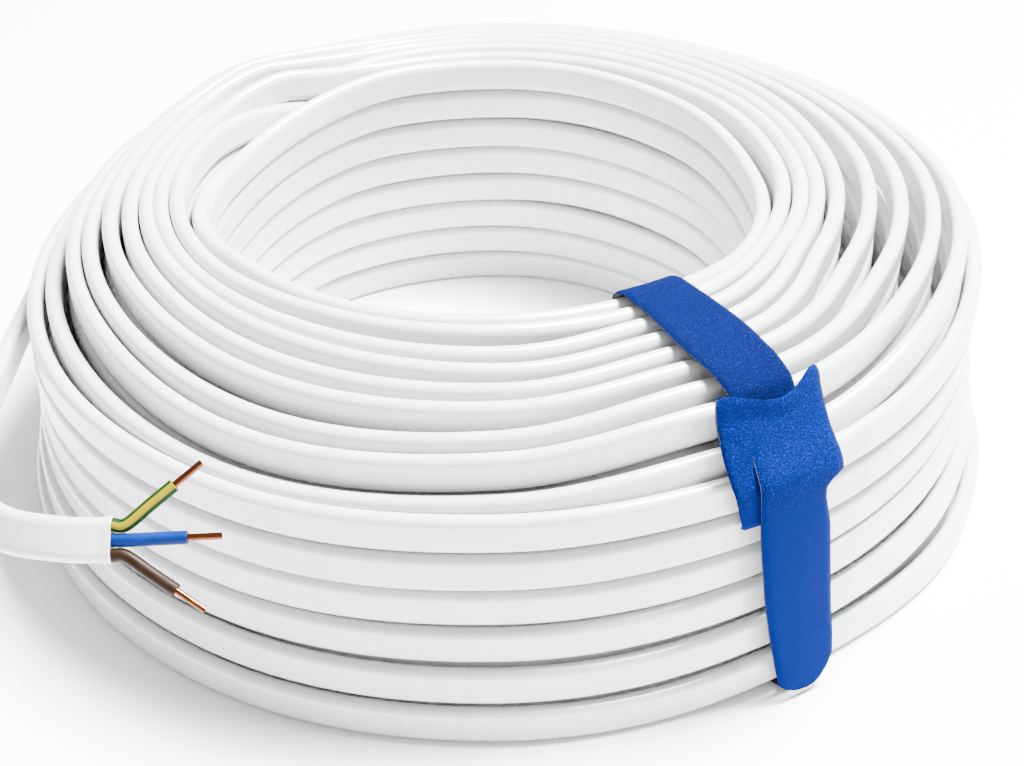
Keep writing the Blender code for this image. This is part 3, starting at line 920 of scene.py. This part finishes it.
def pile_material(name, base, light, fade=None):
    """Blue loop pile of the strap: a painted highlight on the raised loop tips, light times its colour, and
    brushed patches.

    Between two distances along the sheet it may fade to a plainly woven, brighter face.
    """
    made, nodes, links, shader = new_material(name)
    pile = placed_group(nodes, "loop_pile")
    deep = tuple(channel * 0.62 for channel in base)
    # Painted highlight: the tips' colour is light times the pile's colour, laid on the raised loops
    tip_highlight_colour = tuple(channel * light + 0.002 for channel in base)
    body = mixed(nodes, links, pile.outputs["Brushed"], colour(deep), colour(base))
    result = mixed(nodes, links, pile.outputs["Painted Tip Highlight"], body, colour(tip_highlight_colour))
    if fade:
        along, _ = on_the_piece(nodes, links)
        weave = placed_group(nodes, "drawn_streaks", Along=900.0, Across=2600.0)
        dull, clear = (colour(tuple(channel * factor for channel in base)) for factor in (0.95, 1.45))
        plain = mixed(nodes, links, weave.outputs["Height"], dull, clear)
        result = mixed(nodes, links, ranged(nodes, links, along, *fade), result, plain)
    links.new(result, shader.inputs["Base Color"])
    shader.inputs["Roughness"].default_value = 0.9
    shader.inputs["Sheen Weight"].default_value = 0.04
    shader.inputs["Sheen Roughness"].default_value = 0.4
    shader.inputs["Sheen Tint"].default_value = colour((0.05, 0.25, 1.0))
    shader.inputs["Specular IOR Level"].default_value = 0.03
    bumped(nodes, links, shader, pile.outputs["Height"], 0.35, 0.0003)
    return made


def hook_material(looks):
    """Black moulded hooks of the strap's underside, with a painted highlight on their raised tips."""
    made, nodes, links, shader = new_material("black_hooks")
    pile = placed_group(nodes, "loop_pile", Scale=1900.0)
    base = tuple(looks.hook_colour)
    # Painted highlight: the hooks' raised tips are three times as bright as their black
    hook_tip_highlight = tuple(channel * 3.0 for channel in base)
    result = mixed(nodes, links, pile.outputs["Painted Tip Highlight"], colour(base), colour(hook_tip_highlight))
    links.new(result, shader.inputs["Base Color"])
    shader.inputs["Roughness"].default_value = 0.6
    bumped(nodes, links, shader, pile.outputs["Height"], 0.9, 0.0005)
    return made


def floor_material(studio):
    made, nodes, links, shader = new_material("pale_floor")
    marks = placed_group(nodes, "handling_marks", Scale=3.0, Amount=1.0)
    base = tuple(studio.floor_colour)
    result = mixed(nodes, links, marks.outputs["Mask"], colour(base), colour(tuple(c * 0.995 for c in base)))
    links.new(result, shader.inputs["Base Color"])
    shader.inputs["Roughness"].default_value = 0.9
    shader.inputs["Specular IOR Level"].default_value = 0.1
    return made


# Strap


def eased(line, closed):
    """A line with its corners rounded off."""
    for _ in range(4):
        before, after = np.roll(line, 1, axis=0), np.roll(line, -1, axis=0)
        if not closed:
            before[0], after[-1] = line[0], line[-1]
        line = (before + 2.0 * line + after) / 4.0
    return line


def strap_line(points, closed):
    """A line in (radius, height) with a point each millimetre, and its outward normals."""
    corners = np.array(points + points[:1] if closed else points) * MM
    lengths = measured(corners)
    wanted = np.arange(0.0, lengths[-1], MM)
    line = eased(np.column_stack([np.interp(wanted, lengths, corners[:, axis]) for axis in range(2)]), closed)
    if closed:
        tangents = unit(np.roll(line, -1, axis=0) - np.roll(line, 1, axis=0))
    else:
        tangents = unit(np.gradient(line, axis=0))
    return line, np.column_stack((-tangents[:, 1], tangents[:, 0]))


def strap_surface(given, along, across, lift):
    """Points of the strap: a distance along its line, one across from its middle, and a lift off the line."""
    line, normals = given
    steps = np.arange(len(line)) * MM
    radius = np.interp(along, steps, line[:, 0]) + np.interp(along, steps, normals[:, 0]) * lift
    height = np.interp(along, steps, line[:, 1]) + np.interp(along, steps, normals[:, 1]) * lift
    azimuth = STRAP_AZIMUTH + across / radius
    return np.stack((radius * np.cos(azimuth), radius * np.sin(azimuth), height), axis=-1)


def sheet_piece(name, line, along, left, right, lift, finishes, closed=False, sag=None, columns=22):
    """A strip of strap between two edges, with rounded long edges and its own thickness.

    sag moves its points further along, by their place across and along. Its UV map holds metres.
    """
    share = np.linspace(0.0, 1.0, columns + 1)
    rounding = 1.0 - np.sqrt(np.clip(1.0 - np.abs(2 * share - 1.0) ** EDGE_SQUARENESS, 0.0, 1.0))
    full = STRAP_THICKNESS * (1.0 - rounding * EDGE_THINNING)
    lower, upper, uvs = [], [], []
    for index, place in enumerate(along):
        across = left[index] + (right[index] - left[index]) * share
        places = place + (sag(across, place) if sag else 0.0 * across)
        lower.append(strap_surface(line, places, across, lift[index] + STRAP_THICKNESS - full))
        upper.append(strap_surface(line, places, across, lift[index] + full))
        spots = np.column_stack((places, across))
        uvs.append(np.concatenate((spots, spots[::-1])))
    loops = np.concatenate((np.array(upper), np.array(lower)[:, ::-1]), axis=1)
    count, around = loops.shape[:2]
    faces, slots = [], []
    spans = count if closed else count - 1
    for ring in range(spans):
        here, there = ring * around, (ring + 1) % count * around
        for side in range(around):
            near = (side + 1) % around
            faces.append((here + side, there + side, there + near, here + near))
            slots.append(1 if columns < side < around - 1 else 0)
    if not closed:
        for start, turned_over in ((0, False), ((count - 1) * around, True)):
            for side in range(columns):
                far = around - 1 - side
                face = (start + side, start + side + 1, start + far - 1, start + far)
                faces.append(face[::-1] if turned_over else face)
                slots.append(0)
    mesh = bpy.data.meshes.new(name)
    mesh.from_pydata(loops.reshape(-1, 3).tolist(), [], faces)
    mesh.polygons.foreach_set("material_index", slots)
    corners = np.zeros(len(mesh.loops), dtype=int)
    mesh.loops.foreach_get("vertex_index", corners)
    mesh.uv_layers.new(name="along").data.foreach_set("uv", np.array(uvs).reshape(-1, 2)[corners].ravel())
    return finished(name, mesh, finishes, 70.0)


# Operators


class COIL_OT_studio(Operator):
    """Adds the pale floor, the soft light and the camera."""

    bl_idname = "cable_coil.studio"
    bl_label = "Studio"

    def execute(self, context):
        studio = context.scene.coil_studio
        mesh = bpy.data.meshes.new("floor")
        sides = ((-1, -1), (1, -1), (1, 1), (-1, 1))
        corners = [(x * FLOOR_REACH, y * FLOOR_REACH, -FLOOR_DROP) for x, y in sides]
        mesh.from_pydata(corners, [], [(0, 1, 2, 3)])
        floor = bpy.data.objects.new("floor", mesh)
        floor.data.materials.append(floor_material(studio))
        context.scene.collection.objects.link(floor)
        world = bpy.data.worlds.new("white_surround")
        world.use_nodes = True
        background = world.node_tree.nodes["Background"]
        background.inputs["Color"].default_value = (1.0, 1.0, 1.0, 1.0)
        background.inputs["Strength"].default_value = studio.sky_strength
        context.scene.world = world
        self.softbox(context, studio.key_power)
        self.camera(context)
        return {"FINISHED"}

    def softbox(self, context, power):
        light = bpy.data.lights.new("key_softbox", "AREA")
        light.energy = power
        light.size = SOFTBOX_SIZE
        lamp = bpy.data.objects.new("key_softbox", light)
        lamp.location = SOFTBOX_PLACE
        lamp.rotation_euler = (SOFTBOX_AIM - SOFTBOX_PLACE).to_track_quat("-Z", "Y").to_euler()
        context.scene.collection.objects.link(lamp)

    def camera(self, context):
        lens = bpy.data.cameras.new("photo_camera")
        lens.sensor_width = SENSOR_WIDTH
        lens.lens = FOCAL_PIXELS * SENSOR_WIDTH / PHOTO_WIDTH
        lens.clip_start = 0.01
        camera = bpy.data.objects.new("photo_camera", lens)
        camera.location = CAMERA_PLACE
        camera.rotation_euler = (math.pi / 2 - CAMERA_PITCH, 0.0, 0.0)
        context.scene.collection.objects.link(camera)
        context.scene.camera = camera


class COIL_OT_winding(Operator):
    """Winds the coil, one piece for each layer of turns."""

    bl_idname = "cable_coil.winding"
    bl_label = "Winding"

    def execute(self, context):
        sizes = context.scene.coil_cable
        section = jacket_section(sizes.width, sizes.thickness, sizes.edge_radius)
        for layer in range(LAYERS):
            path = layer_path(layer, sizes)
            outward, upward = cable_frames(path, leaning(layer, path))
            name = f"winding_layer_{layer + 1:02d}"
            piece = swept(name, path, outward, upward, section, [jacket_material(sizes)])
            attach(piece, "root")
            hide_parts("cable_coil")
        return {"FINISHED"}


class COIL_OT_free_end(Operator):
    """Adds the cable's free outer end with its cores and bare conductors."""

    bl_idname = "cable_coil.free_end"
    bl_label = "Free end"

    def execute(self, context):
        sizes = context.scene.coil_cable
        route = smooth_route(TAIL_ROUTE, TAIL_STEP)
        share = np.arange(len(route)) / (len(route) - 1)
        tilt = END_FACE_TILT * smoothstep((share - TAIL_TWIST_START) / (1.0 - TAIL_TWIST_START))
        outward, upward = cable_frames(route, -tilt)
        section = jacket_section(sizes.width, sizes.thickness, sizes.edge_radius)
        rings, swell = self.lip(route)
        repeat = np.minimum(np.arange(len(rings)), len(route) - 1)
        around = (rings, outward[repeat], upward[repeat])
        tail = swept("free_end_jacket", *around, section, [jacket_material(sizes)], scale=swell)
        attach(tail, "root")
        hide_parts("cable_tail")
        heading = unit(route[-1] - route[-2])
        cores = self.cores(sizes, route[-1], heading, upward[-1])
        return {"FINISHED"}

    def lip(self, route):
        """Rings of the jacket with a soft, slightly flared lip and a shallow hollow inside it."""
        end, heading = route[-1], unit(route[-1] - route[-2])
        extra = [end + heading * step * MM for step, _ in LIP]
        plain = route[:-2]
        swell = np.concatenate((np.ones(len(plain)), [scale for _, scale in LIP]))
        return np.concatenate((plain, extra)), swell

    def cores(self, sizes, end, heading, edge):
        finishes = {
            "green_yellow": striped_material(sizes),
            "blue": insulation_material("blue_insulation", tuple(sizes.blue_colour)),
            "brown": insulation_material("brown_insulation", tuple(sizes.brown_colour)),
        }
        copper = copper_material(sizes)
        pieces = []
        for count, (name, fan) in enumerate(CORE_FAN.items()):
            spread = math.radians(fan)
            aim = heading * math.cos(spread) + edge * math.sin(spread)
            root = end + edge * CORE_SPACING * (1 - count)
            bend = root + heading * CORE_ROOT
            tip = bend + aim * (CORE_LENGTH - CORE_ROOT)
            knots = (root, bend, bend + (tip - bend) * 0.5, tip)
            path = smooth_route([Vector(knot) for knot in knots], CORE_DIAMETER / 6)
            tangents = unit(np.gradient(path, axis=0))
            face = np.broadcast_to(unit(np.cross(edge, heading)), path.shape)
            across = unit(np.cross(tangents, face))
            section = round_section(CORE_DIAMETER, CORE_SIDES)
            core = swept(f"core_{name}_insulation", path, face, across, section, [finishes[name]])
            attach(core, "root")
            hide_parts(f"core_{name}")
            cut = unit(path[-1] - path[-2])
            wire_path = np.array([path[-1] - cut * MM, path[-1], path[-1] + cut * CONDUCTOR_LENGTH])
            wire_path = evenly_spaced(wire_path, WIRE_STEP)
            face_wire = np.repeat(face[-1:], len(wire_path), axis=0)
            face_wire[-1] -= cut * CUT_SLANT
            across_wire = np.broadcast_to(unit(np.cross(cut, face[-1])), wire_path.shape)
            section = round_section(CONDUCTOR_DIAMETER, WIRE_SIDES)
            wire = swept(f"conductor_{name}_wire", wire_path, face_wire, across_wire, section, [copper])
            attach(wire, "root")
            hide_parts(f"conductor_{name}")
            pieces.extend((core, wire))
        return pieces


class COIL_OT_strap(Operator):
    """Adds the hook-and-loop strap: its band, its wide head and its tail."""

    bl_idname = "cable_coil.strap"
    bl_label = "Strap"

    def execute(self, context):
        looks = context.scene.coil_strap
        base = tuple(looks.pile_colour)
        # Painted shade: the band's pile is the head's colour darkened, so that the band looks shaded
        dark = pile_material("strap_band_pile_painted_shade", tuple(channel * BAND_PAINTED_SHADE for channel in base), BAND_TIP_HIGHLIGHT)
        bright = pile_material("strap_head_pile", base, HEAD_TIP_HIGHLIGHT, (WEAVE_START, WEAVE_FULL))
        hooks = hook_material(looks)
        for piece in (self.band(dark, hooks), self.tab(bright, hooks), self.head_and_tail(bright, hooks)):
            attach(piece, "root")
            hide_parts("hook_and_loop_strap")
        return {"FINISHED"}

    def band(self, pile, hooks):
        line = strap_line(STRAP_LINE, True)
        along = np.arange(len(line[0])) * MM
        left = self.edges(along, BAND_LEFT) + np.sin(along * LEFT_RIPPLE) * EDGE_RIPPLE
        right = self.edges(along, BAND_RIGHT) + np.sin(along * RIGHT_RIPPLE + 1.0) * EDGE_RIPPLE
        lift = np.zeros(len(along))
        return sheet_piece("strap_band", line, along, left, right, lift, [pile, hooks], closed=True)

    def edges(self, along, picks):
        """Distances across at these places along, from a few (along, across) pairs in millimetres."""
        places, widths = np.array(picks).T * MM
        return np.interp(along, places, widths)

    def tab(self, pile, hooks):
        """The head's corner left of the slit, which stays down on the coil."""
        line = strap_line(STRAP_OVER_LINE, False)
        along = np.linspace(TAB_LEFT[0][0], TAB_END, 70) * MM
        left = self.edges(along, TAB_LEFT)
        right = np.maximum(self.edges(along, HEAD_LEFT), TAB_SEAM) + TAB_LAP
        lift = TAB_LIFT - TAB_DIVE * smoothstep((along / MM - TAB_PINCH) / (TAB_END - TAB_PINCH))
        return sheet_piece("strap_tab", line, along, left, right, lift, [pile, hooks])

    def head_and_tail(self, pile, hooks):
        """The wide head, which narrows at the slit and goes on as the hanging tail."""
        line = strap_line(STRAP_OVER_LINE, False)
        along = np.linspace(HEAD_START, TAIL_END, 260) * MM
        left, right = self.edges(along, HEAD_LEFT), self.edges(along, HEAD_RIGHT)
        ear = EAR_LIFT * (1.0 - smoothstep((along / MM - HEAD_START) / EAR_SPAN))
        lift = HEAD_LIFT + ear + TAIL_LIFT * smoothstep((along / MM - SLIT_START) / TAIL_LIFT_SPAN)

        def sag(across, place):
            fade = 1.0 - smoothstep((place / MM - HEAD_START) / DIP_SPAN)
            spots, depths = np.array(HEAD_TOP).T * MM
            return np.interp(across, spots, depths) * fade

        return sheet_piece("strap_head_and_tail", line, along, left, right, lift, [pile, hooks], sag=sag)


class COIL_PT_sidebar(Panel):
    """Lists the coil's pieces in the 3D view's sidebar."""

    bl_label = "Cable Coil"
    bl_space_type = "VIEW_3D"
    bl_region_type = "UI"
    bl_category = "Cable Coil"

    def draw(self, context):
        layout = self.layout
        for group in (context.scene.coil_cable, context.scene.coil_strap, context.scene.coil_studio):
            for name in group.__annotations__:
                layout.prop(group, name)
        for operator in OPERATORS:
            layout.operator(operator.bl_idname)


PROPERTY_GROUPS = {
    "coil_cable": CableProperties,
    "coil_strap": StrapProperties,
    "coil_studio": StudioProperties,
}
OPERATORS = (COIL_OT_studio, COIL_OT_winding, COIL_OT_free_end, COIL_OT_strap)


def register():
    for group in PROPERTY_GROUPS.values():
        bpy.utils.register_class(group)
    for name, group in PROPERTY_GROUPS.items():
        setattr(bpy.types.Scene, name, PointerProperty(type=group))
    for operator in OPERATORS:
        bpy.utils.register_class(operator)
    bpy.utils.register_class(COIL_PT_sidebar)


def unregister():
    bpy.utils.unregister_class(COIL_PT_sidebar)
    for operator in reversed(OPERATORS):
        bpy.utils.unregister_class(operator)
    for name, group in PROPERTY_GROUPS.items():
        delattr(bpy.types.Scene, name)
        bpy.utils.unregister_class(group)


def main():
    register()
    bpy.ops.cable_coil.studio()
    bpy.ops.cable_coil.free_end()
    bpy.ops.cable_coil.winding()
    bpy.ops.cable_coil.strap()


if __name__ == "__main__":
    main()
